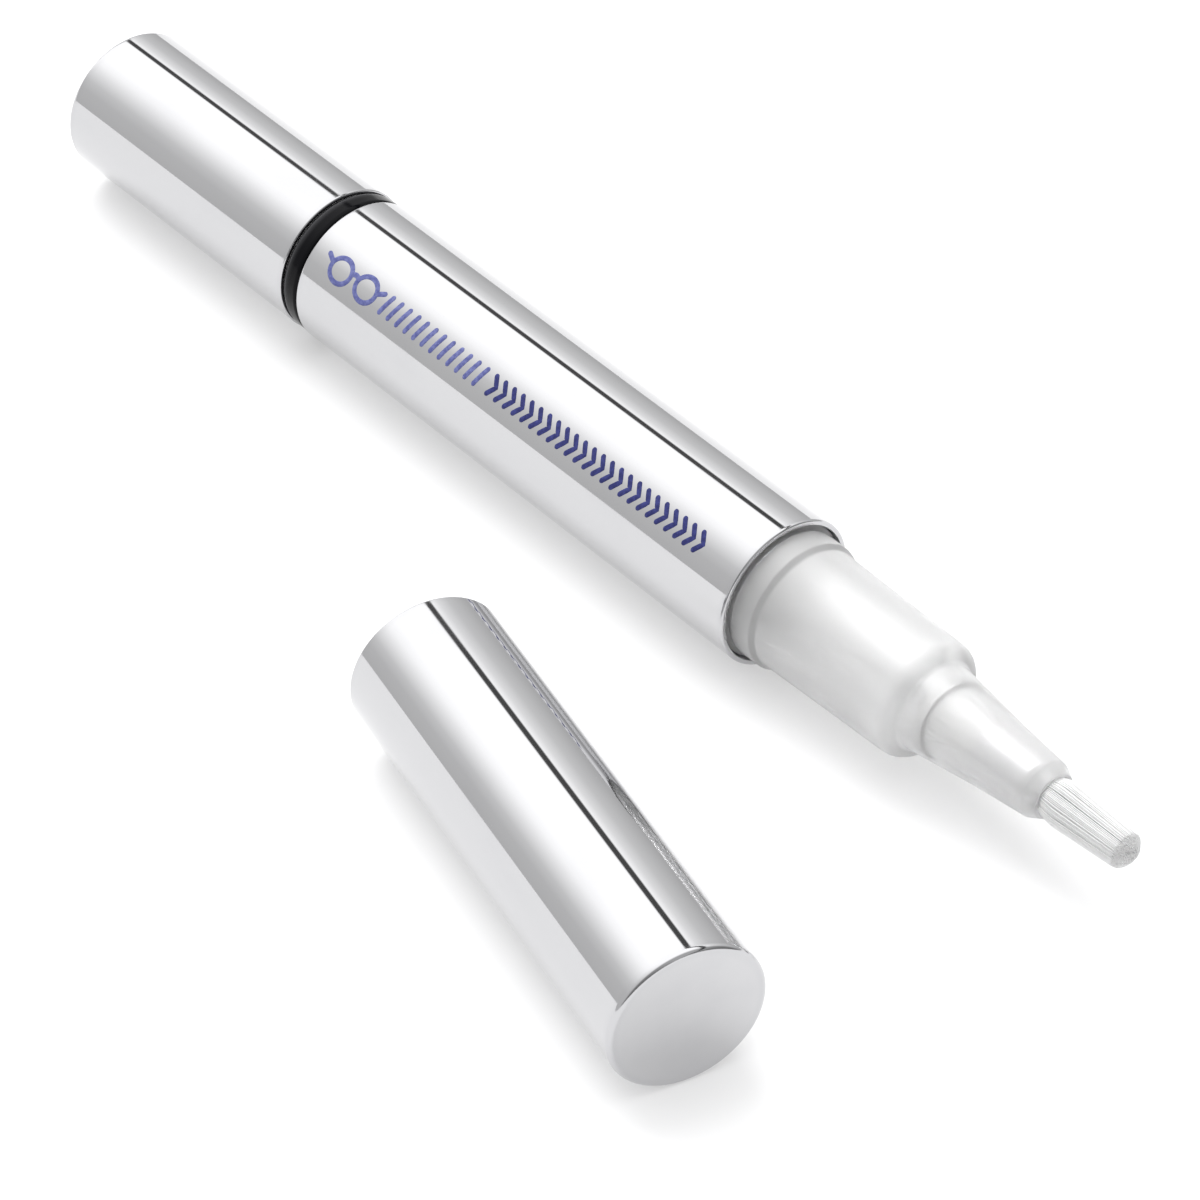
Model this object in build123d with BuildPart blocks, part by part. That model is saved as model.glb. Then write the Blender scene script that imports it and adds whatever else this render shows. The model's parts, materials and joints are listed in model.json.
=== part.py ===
from build123d import *
import math
import os

# Twist-up fluid pen for cleaning lenses, lying on a table with its cap beside it.
# Millimetres. +X runs along the pen towards the brush, +Z is up, and the origin is on the pen's axis
# at the front rim of the barrel. Both tubes have the same radius, so both axes lie at Z = 0.

# ---- overall sizes ----
tube_radius = 7.0
tube_wall = 0.5
barrel_length = 57.5
ring_width = 2.1
knob_length = 31.7
cap_length = 46.5
end_wall = 0.6
tube_edge = 0.2
end_edge = 0.55

# ---- where the cap lies beside the pen ----
cap_mouth_x = -12.2
cap_mouth_y = -28.6
cap_yaw = -12.97

# ---- clearances ----
press_gap = 0.05
run_gap = 0.05
face_gap = 0.1
loose_gap = 0.3
bush_gap = 0.4
piston_gap = 1.5
spring_gap = 0.5
ring_step = 0.1

# ---- nozzle ----
collar_step = 0.4
collar_length = 2.3
collar_depth = 0.6
collar_clear = 0.15
collar_groove = 0.35
neck_step = 0.35
neck_length = 17.1
neck_draft = 0.3
nozzle_wall = 1.25
shoulder_rise = 1.4
shoulder_turn = 75.0
shoulder_end = 19.2
spout_start_rise = 1.38
spout_middle = 26.0
spout_middle_rise = 0.53
spout_end = 31.6
spout_wall = 0.62
nozzle_end = 32.8
lip_wall = 0.3
flange_length = 4.4
plug_length = 4.2
plug_wall = 1.5

# ---- brush and feed ----
brush_radius = 1.75
brush_splay = 0.35
brush_splay_length = 0.9
brush_tip_radius = 1.65
brush_blunt = 0.75
brush_end = 42.1
brush_root = 25.4
crimp_wall = 0.25
crimp_length = 5.6
lip_length = 1.4
holder_length = 5.0
holder_flange = 1.0
holder_flange_step = 0.55
feed_bore = 0.45
feed_wall = 0.4
feed_tail = 29.0

# ---- reservoir, piston and seals ----
reservoir_wall = 0.95
seal_wire = 0.36
seal_gap = 0.04
piston_length = 7.0
piston_nose = 0.8
piston_end_gap = 1.4

# ---- drive screw ----
lead = 3.0
turns = 9
thread_depth = 0.6
thread_root = 1.5
thread_crest = 0.7
thread_gap = 0.15
thread_sink = 0.2
bush_length = 5.6
bush_flange = 1.0
tip_length = 4.6
tip_bead = 0.25
tip_bead_width = 1.0

# ---- drive key between the knob and the screw ----
key_count = 4
key_depth = 1.1
key_width = 1.5
key_length = 4.8
key_end_gap = 0.8
bore_end_wall = 1.6

# ---- knob bearing, clip and click ----
journal_wall = 0.7
journal_nose = 0.7
clip_width = 0.8
clip_groove = 0.3
clip_height = 1.1
clip_mouth = 3.0
sleeve_inset = 2.5
ratchet_teeth = 24
ratchet_tooth = 0.3
ratchet_wall = 0.3
ratchet_length = 2.0
ratchet_spigot = 1.0
ratchet_spigot_wall = 0.7
spring_arms = 3
spring_thickness = 0.3
spring_arm_angle = 62.0
spring_foot_angle = 14.0
spring_slot = 0.25
spring_ring_wall = 0.4
spring_length = 1.2
spring_key = 0.2
spring_key_width = 1.2
collar_width = 2.4
core_wall = 1.3

# ---- cap lining ----
liner_setback = 0.4
liner_step = 0.3
liner_step_depth = 3.0
liner_end_wall = 1.1
liner_end_gap = 0.3
pad_thickness = 1.0
pad_step = 0.4

# ---- stations along the pen, from the front rim backwards ----
barrel_rear = -barrel_length
ring_rear = barrel_rear - ring_width
knob_front = ring_rear - face_gap
knob_rear = knob_front - knob_length
flange_rear = -collar_depth - flange_length
plug_rear = flange_rear - plug_length
sleeve_front = barrel_rear + sleeve_inset
clip_rear = sleeve_front + face_gap
clip_front = clip_rear + clip_width
journal_front = clip_front + journal_nose
bush_rear = journal_front + bush_gap
reservoir_rear = bush_rear + bush_flange
bush_front = reservoir_rear + bush_length
piston_rear = bush_front + piston_gap
piston_front = piston_rear + piston_length
ratchet_front = ring_rear
ratchet_rear = ratchet_front - ratchet_length
spring_front = ratchet_front - spring_gap
spring_rear = spring_front - spring_length
core_front = ratchet_rear - loose_gap
core_rear = knob_rear + end_wall + loose_gap
bore_rear = core_rear + bore_end_wall
key_front_travelled = bush_rear - key_end_gap
reservoir_room = plug_rear - piston_end_gap - piston_front
knob_room = key_front_travelled - key_length - loose_gap - bore_rear
stroke = min(turns * lead, reservoir_room, knob_room)
key_front = key_front_travelled - stroke
key_rear = key_front - key_length

# ---- radii, from the tubes inwards ----
tube_bore = tube_radius - tube_wall
inside_fit = tube_bore - press_gap
ring_radius = tube_radius - ring_step
reservoir_bore = inside_fit - reservoir_wall
plug_radius = reservoir_bore - press_gap
collar_radius = tube_bore - collar_step
neck_rear_radius = collar_radius - neck_step
neck_front_radius = neck_rear_radius - neck_draft
chamber_radius = neck_front_radius - nozzle_wall
ratchet_outer = tube_bore - 4 * run_gap
ratchet_root = ratchet_outer - ratchet_wall
ratchet_tip = ratchet_root - ratchet_tooth
spring_tip = ratchet_tip - 2 * run_gap
spring_arm_outer = spring_tip - ratchet_tooth
spring_arm_inner = spring_arm_outer - spring_thickness
spring_ring_outer = spring_arm_inner - spring_slot
spring_ring_inner = spring_ring_outer - spring_ring_wall
journal_radius = spring_ring_inner - press_gap
key_slot_radius = journal_radius - journal_wall
key_radius = key_slot_radius - 2 * run_gap
core_bore = key_slot_radius - key_depth
screw_major = core_bore - loose_gap
screw_minor = screw_major - thread_depth
tap_radius = screw_minor + thread_gap
tip_radius = screw_minor - 2 * press_gap
crimp_radius = brush_radius + crimp_wall
spout_bore = crimp_radius + press_gap
spout_end_radius = spout_bore + spout_wall
spout_middle_radius = spout_end_radius + spout_middle_rise
spout_start_radius = spout_end_radius + spout_start_rise
lip_bore = brush_radius + press_gap
lip_radius = lip_bore + lip_wall
holder_seat = spout_bore + holder_flange_step
holder_front = shoulder_end + holder_flange
crimp_rear = holder_front + holder_length
crimp_front = crimp_rear + crimp_length
feed_radius = feed_bore + feed_wall
seal_centre = reservoir_bore - seal_gap - seal_wire
seal_floor = seal_centre - seal_wire - seal_gap
seal_half_groove = seal_wire + 2 * seal_gap
piston_radius = reservoir_bore - 4 * run_gap
piston_middle = (piston_rear + piston_front) / 2
bead_rear = piston_rear + (tip_length - tip_bead_width) * 2 / 3
thread_turns = math.floor((piston_rear - key_front) / lead) - 1
spigot_radius = ratchet_root + ratchet_wall / 2
core_middle = (core_front + core_rear) / 2
tooth_angle = 2 * math.pi / ratchet_teeth
pawl_end = math.radians(spring_arm_angle)
pawl_start = pawl_end - tooth_angle
liner_radius = collar_radius + press_gap - liner_step
liner_end = cap_length - end_wall - liner_end_gap
pad_rear = liner_end - liner_end_wall
pad_front = pad_rear - pad_thickness
pad_seat = liner_radius - pad_step

cap_plane = Plane(
    origin=(cap_mouth_x, cap_mouth_y, 0),
    x_dir=(math.cos(math.radians(cap_yaw)), math.sin(math.radians(cap_yaw)), 0),
    z_dir=(0, 0, 1),
)
cap_axis = Axis(cap_plane.origin, cap_plane.x_dir)

os.makedirs("parts", exist_ok=True)


def outline(points, plane=Plane.XY):
    """A closed straight-edged section, as (station along the axis, radius) points."""
    with BuildSketch(plane) as section:
        with BuildLine():
            Polyline(*points, close=True)
        make_face()
    return section.sketch


def tube(front, rear, outer, inner, plane=Plane.XY):
    """The half section of a plain tube."""
    return outline([(front, inner), (front, outer), (rear, outer), (rear, inner)], plane)


def ring_edges(part, radius, axis=Axis.X):
    """The circular edges of a turned part that have this radius, in order along the axis."""
    circles = part.edges().filter_by(GeomType.CIRCLE)
    return circles.filter_by(lambda edge: abs(edge.radius - radius) < 1e-6).sort_by(axis)


def seal_wire_section(station):
    """The round section of a seal ring against the reservoir's bore."""
    with BuildSketch() as section:
        with Locations((station, seal_centre)):
            Circle(seal_wire)
    return section.sketch


def seal_slot(station, outer):
    """The half section of the groove that holds a seal ring."""
    return tube(station + seal_half_groove, station - seal_half_groove, outer + press_gap, seal_floor)


def thread_phase(station):
    """The nearest whole lead behind a station, so that every thread starts in step."""
    return math.floor(station / lead - 1) * lead


def screw_section(start, root, crest, depth, sink):
    """The trapezoid of a screw thread, on the plane square to its helix where the helix begins."""
    foot = start @ 0
    with BuildSketch(Plane(origin=foot, x_dir=(0, foot.Y, foot.Z), z_dir=start % 0)) as section:
        with BuildLine():
            Polyline(
                (-sink, -root / 2),
                (-sink, root / 2),
                (0, root / 2),
                (depth, crest / 2),
                (depth, -crest / 2),
                (0, -root / 2),
                close=True,
            )
        make_face()
    return section.sketch


# ================= barrel =================
with BuildPart() as barrel_shell:
    revolve(tube(0, barrel_rear, tube_radius, tube_bore), axis=Axis.X)
    fillet(ring_edges(barrel_shell.part, tube_radius), tube_edge)
barrel_shell.part.label = "barrel_shell"

with BuildPart() as reservoir:
    revolve(tube(flange_rear, reservoir_rear, inside_fit, reservoir_bore), axis=Axis.X)
reservoir.part.label = "reservoir"

with BuildPart() as spacer_ring:
    revolve(tube(barrel_rear, ring_rear, ring_radius, tube_bore), axis=Axis.X)
    chamfer(ring_edges(spacer_ring.part, ring_radius), tube_edge)
spacer_ring.part.label = "spacer_ring"

# ================= nozzle, brush and feed =================
with BuildPart() as nozzle:
    with BuildSketch():
        with BuildLine():
            Polyline(
                (nozzle_end, lip_bore),
                (nozzle_end - lip_length, lip_bore),
                (nozzle_end - lip_length, spout_bore),
                (shoulder_end + holder_flange, spout_bore),
                (shoulder_end + holder_flange, holder_seat),
                (shoulder_end, holder_seat),
                (neck_length - nozzle_wall, chamber_radius),
                (flange_rear, chamber_radius),
                (flange_rear, plug_radius - plug_wall),
                (plug_rear, plug_radius - plug_wall),
                (plug_rear, plug_radius),
            )
            outside = Polyline(
                (plug_rear, plug_radius),
                (flange_rear, plug_radius),
                (flange_rear, inside_fit),
                (-collar_depth, inside_fit),
                (-collar_depth, collar_radius - collar_groove),
                (collar_clear, collar_radius - collar_groove),
                (collar_clear, collar_radius),
                (collar_length, collar_radius),
                (collar_length, neck_rear_radius),
                (neck_length, neck_front_radius),
            )
            shoulder = JernArc(outside @ 1, (1, 0), shoulder_rise, -shoulder_turn)
            Spline(
                shoulder @ 1,
                (shoulder_end, spout_start_radius),
                (spout_middle, spout_middle_radius),
                (spout_end, spout_end_radius),
            )
            Polyline(
                (spout_end, spout_end_radius),
                (nozzle_end, lip_radius),
                (nozzle_end, lip_bore),
            )
        make_face()
    revolve(axis=Axis.X)
    revolve(seal_slot(flange_rear - plug_length / 2, plug_radius), axis=Axis.X, mode=Mode.SUBTRACT)
nozzle.part.label = "nozzle"

with BuildPart() as nozzle_seal:
    revolve(seal_wire_section(flange_rear - plug_length / 2), axis=Axis.X)
nozzle_seal.part.label = "nozzle_seal"

with BuildPart() as brush_holder:
    revolve(
        outline(
            [
                (shoulder_end, feed_radius + press_gap),
                (shoulder_end, holder_seat - press_gap),
                (holder_front, holder_seat - press_gap),
                (holder_front, crimp_radius),
                (crimp_rear, crimp_radius),
                (crimp_rear, feed_radius + press_gap),
            ]
        ),
        axis=Axis.X,
    )
brush_holder.part.label = "brush_holder"

with BuildPart() as feed_tube:
    revolve(tube(crimp_rear, crimp_rear - feed_tail, feed_radius, feed_bore), axis=Axis.X)
feed_tube.part.label = "feed_tube"

with BuildPart() as brush_crimp:
    revolve(tube(crimp_rear + face_gap, crimp_front, crimp_radius, brush_radius), axis=Axis.X)
brush_crimp.part.label = "brush_crimp"

with BuildPart() as brush_bristles:
    with BuildSketch():
        with BuildLine():
            rear = Polyline(
                (nozzle_end, 0),
                (brush_root, 0),
                (brush_root, brush_radius),
                (nozzle_end, brush_radius),
                (nozzle_end + brush_splay_length, brush_radius + brush_splay),
            )
            flank = Line(rear @ 1, (brush_end - brush_tip_radius * brush_blunt, brush_tip_radius))
            tip = Spline(flank @ 1, (brush_end, 0), tangents=(flank % 1, (0, -1)))
            Line(tip @ 1, rear @ 0)
        make_face()
    revolve(axis=Axis.X)
brush_bristles.part.label = "brush_bristles"

# ================= rear end of the barrel =================
with BuildPart() as thread_tap:
    with BuildLine() as groove_helix:
        Helix(
            lead,
            bush_length + bush_flange + 2 * lead,
            tap_radius,
            (thread_phase(bush_rear), 0, 0),
            (1, 0, 0),
        )
    sweep(
        screw_section(
            groove_helix.line,
            thread_root + 2 * thread_gap,
            thread_crest + 2 * thread_gap,
            thread_depth,
            thread_sink,
        ),
        path=groove_helix.line,
        is_frenet=True,
    )
    revolve(tube(bush_rear - 2 * lead, bush_front + 2 * lead, tap_radius, 0), axis=Axis.X)

with BuildPart() as thread_bush:
    revolve(tube(bush_rear, bush_front, plug_radius, 0), axis=Axis.X)
    revolve(tube(bush_rear, reservoir_rear, inside_fit, 0), axis=Axis.X)
    add(thread_tap.part, mode=Mode.SUBTRACT)
thread_bush.part.label = "thread_bush"

with BuildPart() as bearing_sleeve:
    revolve(tube(sleeve_front, ring_rear, inside_fit, journal_radius + run_gap), axis=Axis.X)
    revolve(
        tube(ring_rear + ratchet_spigot + face_gap, ring_rear, spigot_radius + press_gap, journal_radius),
        axis=Axis.X,
        mode=Mode.SUBTRACT,
    )
bearing_sleeve.part.label = "bearing_sleeve"

with BuildPart() as ratchet_ring:
    with BuildSketch(Plane.YZ.offset(ratchet_rear)):
        Circle(ratchet_outer)
        Circle(ratchet_root, mode=Mode.SUBTRACT)
        with PolarLocations(0, ratchet_teeth):
            with BuildLine():
                Polyline(
                    (spigot_radius, 0),
                    (ratchet_tip, 0),
                    (ratchet_root * math.cos(tooth_angle), ratchet_root * math.sin(tooth_angle)),
                    (spigot_radius * math.cos(tooth_angle), spigot_radius * math.sin(tooth_angle)),
                    close=True,
                )
            make_face()
    extrude(amount=ratchet_length)
    revolve(
        tube(ratchet_front + ratchet_spigot, ratchet_front - face_gap, spigot_radius,
             spigot_radius - ratchet_spigot_wall),
        axis=Axis.X,
    )
ratchet_ring.part.label = "ratchet_ring"

# ================= knob =================
with BuildPart() as knob_shell:
    revolve(
        outline(
            [
                (knob_front, tube_bore),
                (knob_front, tube_radius),
                (knob_rear, tube_radius),
                (knob_rear, 0),
                (knob_rear + end_wall, 0),
                (knob_rear + end_wall, tube_bore),
            ]
        ),
        axis=Axis.X,
    )
    fillet(ring_edges(knob_shell.part, tube_radius)[0], end_edge)
    fillet(ring_edges(knob_shell.part, tube_radius)[-1], tube_edge)
knob_shell.part.label = "knob_shell"

with BuildPart() as drive_core:
    revolve(
        outline(
            [
                (journal_front, 0),
                (journal_front, journal_radius),
                (clip_front, journal_radius),
                (clip_front, journal_radius - clip_groove),
                (clip_rear, journal_radius - clip_groove),
                (clip_rear, journal_radius),
                (core_front, journal_radius),
                (core_front, inside_fit),
                (core_front - collar_width, inside_fit),
                (core_front - collar_width, key_slot_radius + core_wall),
                (core_middle + collar_width / 2, key_slot_radius + core_wall),
                (core_middle + collar_width / 2, inside_fit),
                (core_middle - collar_width / 2, inside_fit),
                (core_middle - collar_width / 2, key_slot_radius + core_wall),
                (core_rear + collar_width, key_slot_radius + core_wall),
                (core_rear + collar_width, inside_fit),
                (core_rear, inside_fit),
                (core_rear, 0),
            ]
        ),
        axis=Axis.X,
    )
    with BuildSketch(Plane.YZ.offset(bore_rear)):
        Circle(core_bore)
        with PolarLocations(key_slot_radius / 2, key_count):
            Rectangle(key_slot_radius, key_width + 4 * run_gap)
    extrude(amount=journal_front - bore_rear, mode=Mode.SUBTRACT)
    with BuildSketch(Plane.YZ.offset(spring_rear - face_gap)):
        with PolarLocations(journal_radius, 2):
            Rectangle(2 * (spring_key + press_gap), spring_key_width + 2 * press_gap)
    extrude(amount=spring_length + 2 * face_gap, mode=Mode.SUBTRACT)
drive_core.part.label = "drive_core"

with BuildPart() as retaining_clip:
    with BuildSketch(Plane.YZ.offset(clip_rear + face_gap / 2)):
        Circle(journal_radius - clip_groove + press_gap + clip_height)
        Circle(journal_radius - clip_groove + press_gap, mode=Mode.SUBTRACT)
        with Locations((0, -journal_radius)):
            Rectangle(clip_mouth, 2 * journal_radius, mode=Mode.SUBTRACT)
    extrude(amount=clip_width - face_gap)
retaining_clip.part.label = "retaining_clip"

with BuildPart() as click_spring:
    with BuildSketch(Plane.YZ.offset(spring_rear)):
        Circle(spring_ring_outer)
        Circle(spring_ring_inner, mode=Mode.SUBTRACT)
        with PolarLocations(spring_ring_inner, 2):
            Rectangle(2 * spring_key, spring_key_width)
        with PolarLocations(0, spring_arms):
            with BuildLine():
                inner = CenterArc((0, 0), spring_arm_inner, 0, spring_arm_angle)
                outer = CenterArc((0, 0), spring_arm_outer, 0, spring_arm_angle)
                Line(inner @ 0, outer @ 0)
                Line(inner @ 1, outer @ 1)
            make_face()
            with BuildLine():
                foot = CenterArc((0, 0), spring_ring_outer - spring_ring_wall / 2, 0, spring_foot_angle)
                head = CenterArc((0, 0), spring_arm_outer, 0, spring_foot_angle)
                Line(foot @ 0, head @ 0)
                Line(foot @ 1, head @ 1)
            make_face()
            with BuildLine():
                Polyline(
                    (spring_arm_inner * math.cos(pawl_start), spring_arm_inner * math.sin(pawl_start)),
                    (spring_arm_outer * math.cos(pawl_start), spring_arm_outer * math.sin(pawl_start)),
                    (spring_tip * math.cos(pawl_end), spring_tip * math.sin(pawl_end)),
                    (spring_arm_inner * math.cos(pawl_end), spring_arm_inner * math.sin(pawl_end)),
                    close=True,
                )
            make_face()
    extrude(amount=spring_length)
click_spring.part.label = "click_spring"

# ================= drive screw and piston =================
with BuildPart() as piston_rod:
    revolve(
        outline(
            [
                (key_rear, 0),
                (key_rear, screw_major),
                (key_front, screw_major),
                (key_front, screw_minor),
                (piston_rear, screw_minor),
                (piston_rear, tip_radius),
                (bead_rear, tip_radius),
                (bead_rear, tip_radius + tip_bead),
                (bead_rear + tip_bead_width, tip_radius + tip_bead),
                (bead_rear + tip_bead_width, tip_radius),
                (piston_rear + tip_length, tip_radius),
                (piston_rear + tip_length, 0),
            ]
        ),
        axis=Axis.X,
    )
    with BuildSketch(Plane.YZ.offset(key_rear)):
        with PolarLocations(key_radius / 2, key_count):
            Rectangle(key_radius, key_width)
    extrude(amount=key_length)
    with BuildLine() as thread_helix:
        Helix(
            lead,
            thread_turns * lead,
            screw_minor,
            (thread_phase(key_front) + lead, 0, 0),
            (1, 0, 0),
        )
    sweep(
        screw_section(thread_helix.line, thread_root, thread_crest, thread_depth, thread_sink),
        path=thread_helix.line,
        is_frenet=True,
    )
piston_rod.part.label = "piston_rod"

with BuildPart() as piston:
    revolve(
        outline(
            [
                (piston_rear, tip_radius + press_gap),
                (piston_rear, piston_radius),
                (piston_front - piston_nose, piston_radius),
                (piston_front, piston_radius - piston_nose),
                (piston_front, 0),
                (piston_rear + tip_length + press_gap, 0),
                (piston_rear + tip_length + press_gap, tip_radius + press_gap),
                (bead_rear + tip_bead_width + press_gap, tip_radius + press_gap),
                (bead_rear + tip_bead_width + press_gap, tip_radius + tip_bead + press_gap),
                (bead_rear - press_gap, tip_radius + tip_bead + press_gap),
                (bead_rear - press_gap, tip_radius + press_gap),
            ]
        ),
        axis=Axis.X,
    )
    revolve(seal_slot(piston_middle, piston_radius), axis=Axis.X, mode=Mode.SUBTRACT)
piston.part.label = "piston"

with BuildPart() as piston_seal:
    revolve(seal_wire_section(piston_middle), axis=Axis.X)
piston_seal.part.label = "piston_seal"

# ================= cap =================
with BuildPart() as cap_shell:
    revolve(
        outline(
            [
                (0, tube_bore),
                (0, tube_radius),
                (cap_length, tube_radius),
                (cap_length, 0),
                (cap_length - end_wall, 0),
                (cap_length - end_wall, tube_bore),
            ],
            cap_plane,
        ),
        axis=cap_axis,
    )
    fillet(ring_edges(cap_shell.part, tube_radius, cap_axis)[0], tube_edge)
    fillet(ring_edges(cap_shell.part, tube_radius, cap_axis)[-1], end_edge)
cap_shell.part.label = "cap_shell"

with BuildPart() as cap_liner:
    revolve(
        outline(
            [
                (liner_setback, collar_radius + press_gap),
                (liner_setback, inside_fit),
                (liner_end, inside_fit),
                (liner_end, 0),
                (pad_rear, 0),
                (pad_rear, pad_seat),
                (pad_front, pad_seat),
                (pad_front, liner_radius),
                (liner_step_depth, liner_radius),
                (liner_step_depth, collar_radius + press_gap),
            ],
            cap_plane,
        ),
        axis=cap_axis,
    )
cap_liner.part.label = "cap_liner"

with BuildPart() as cap_pad:
    revolve(
        outline(
            [
                (pad_rear, 0),
                (pad_rear, pad_seat - press_gap),
                (pad_front, pad_seat - press_gap),
                (pad_front, 0),
            ],
            cap_plane,
        ),
        axis=cap_axis,
    )
cap_pad.part.label = "cap_pad"

pieces = [
    barrel_shell,
    reservoir,
    spacer_ring,
    nozzle,
    nozzle_seal,
    brush_holder,
    feed_tube,
    brush_crimp,
    brush_bristles,
    thread_bush,
    bearing_sleeve,
    ratchet_ring,
    knob_shell,
    drive_core,
    retaining_clip,
    click_spring,
    piston_rod,
    piston,
    piston_seal,
    cap_shell,
    cap_liner,
    cap_pad,
]
for piece in pieces:
    export_step(piece.part, f"parts/{piece.part.label}.step")
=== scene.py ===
import json
import logging
import math
from dataclasses import dataclass
from enum import Enum
from typing import Any, Sequence

import bpy
import numpy as np
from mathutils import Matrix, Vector


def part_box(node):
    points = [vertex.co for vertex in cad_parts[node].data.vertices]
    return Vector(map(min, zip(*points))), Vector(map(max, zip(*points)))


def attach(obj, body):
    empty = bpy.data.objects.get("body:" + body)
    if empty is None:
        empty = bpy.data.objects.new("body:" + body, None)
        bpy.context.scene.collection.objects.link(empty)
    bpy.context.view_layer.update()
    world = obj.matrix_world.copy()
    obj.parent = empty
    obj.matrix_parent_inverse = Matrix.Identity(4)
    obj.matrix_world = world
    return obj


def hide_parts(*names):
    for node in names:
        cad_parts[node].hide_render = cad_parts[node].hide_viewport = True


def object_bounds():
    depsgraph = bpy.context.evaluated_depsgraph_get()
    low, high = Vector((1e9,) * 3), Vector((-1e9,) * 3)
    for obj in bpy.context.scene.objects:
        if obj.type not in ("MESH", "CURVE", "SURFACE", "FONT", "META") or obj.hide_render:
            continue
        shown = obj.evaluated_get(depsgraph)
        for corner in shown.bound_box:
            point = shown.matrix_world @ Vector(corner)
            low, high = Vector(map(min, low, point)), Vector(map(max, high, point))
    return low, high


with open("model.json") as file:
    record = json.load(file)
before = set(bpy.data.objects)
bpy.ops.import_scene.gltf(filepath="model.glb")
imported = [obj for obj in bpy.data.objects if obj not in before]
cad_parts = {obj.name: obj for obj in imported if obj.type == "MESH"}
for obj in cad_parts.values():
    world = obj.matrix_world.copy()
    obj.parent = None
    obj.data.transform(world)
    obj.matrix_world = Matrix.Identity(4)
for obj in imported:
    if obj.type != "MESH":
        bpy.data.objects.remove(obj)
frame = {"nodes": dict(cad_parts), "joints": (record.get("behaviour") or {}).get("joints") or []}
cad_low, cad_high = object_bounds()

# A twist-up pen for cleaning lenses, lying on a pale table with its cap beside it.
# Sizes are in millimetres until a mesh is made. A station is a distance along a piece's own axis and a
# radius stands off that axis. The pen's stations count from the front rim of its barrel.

MM = 0.001
GOLDEN_ANGLE = math.pi * (3 - math.sqrt(5))
log = logging.getLogger("lens_pen")

Pair = tuple[float, float]
Triple = tuple[float, float, float]
Colour = Triple
# The (along, upwards) places of a printed stroke, their heights and the faces between them.
Stroke = tuple[np.ndarray, np.ndarray, list[list[int]]]


# ---------- Outlines and turned surfaces ----------


class Ends(Enum):
    """How an outline begins and ends."""

    LOOP = "a closed loop, which turns into a ring or a tube"
    AXIS = "on the axis at both ends, which turns into a solid or a closed shell"


@dataclass(frozen=True)
class Outline:
    """The half section of a turned piece.

    points holds stations and radii, normals the way each point faces, and edge how near it is to an edge.
    """

    points: np.ndarray
    normals: np.ndarray
    edge: np.ndarray
    ends: Ends


@dataclass(frozen=True)
class Seat:
    """Where a turned piece sits: the point its stations count from, in metres, and its axis."""

    origin: np.ndarray
    axis: np.ndarray

    @property
    def side(self) -> np.ndarray:
        """The level direction square to the axis."""
        return np.cross(self.up, self.axis)

    @property
    def up(self) -> np.ndarray:
        """Straight up from the table."""
        return np.array([0.0, 0.0, 1.0])

    @property
    def yaw(self) -> float:
        """The turn of the axis from +X, in radians."""
        return math.atan2(self.axis[1], self.axis[0])


def unit(vectors: np.ndarray) -> np.ndarray:
    """Each vector divided by its length."""
    return vectors / np.linalg.norm(vectors, axis=-1, keepdims=True)


def left_of(vectors: np.ndarray) -> np.ndarray:
    """Each plane vector turned a quarter turn to the left."""
    return np.stack((-vectors[..., 1], vectors[..., 0]), -1)


def signed_area(spots: np.ndarray) -> float:
    """Half the sum of the cross products of neighbouring corners, positive if they run to the left."""
    after = np.roll(spots, -1, 0)
    return float((spots[:, 0] * after[:, 1] - spots[:, 1] * after[:, 0]).sum() / 2)


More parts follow.
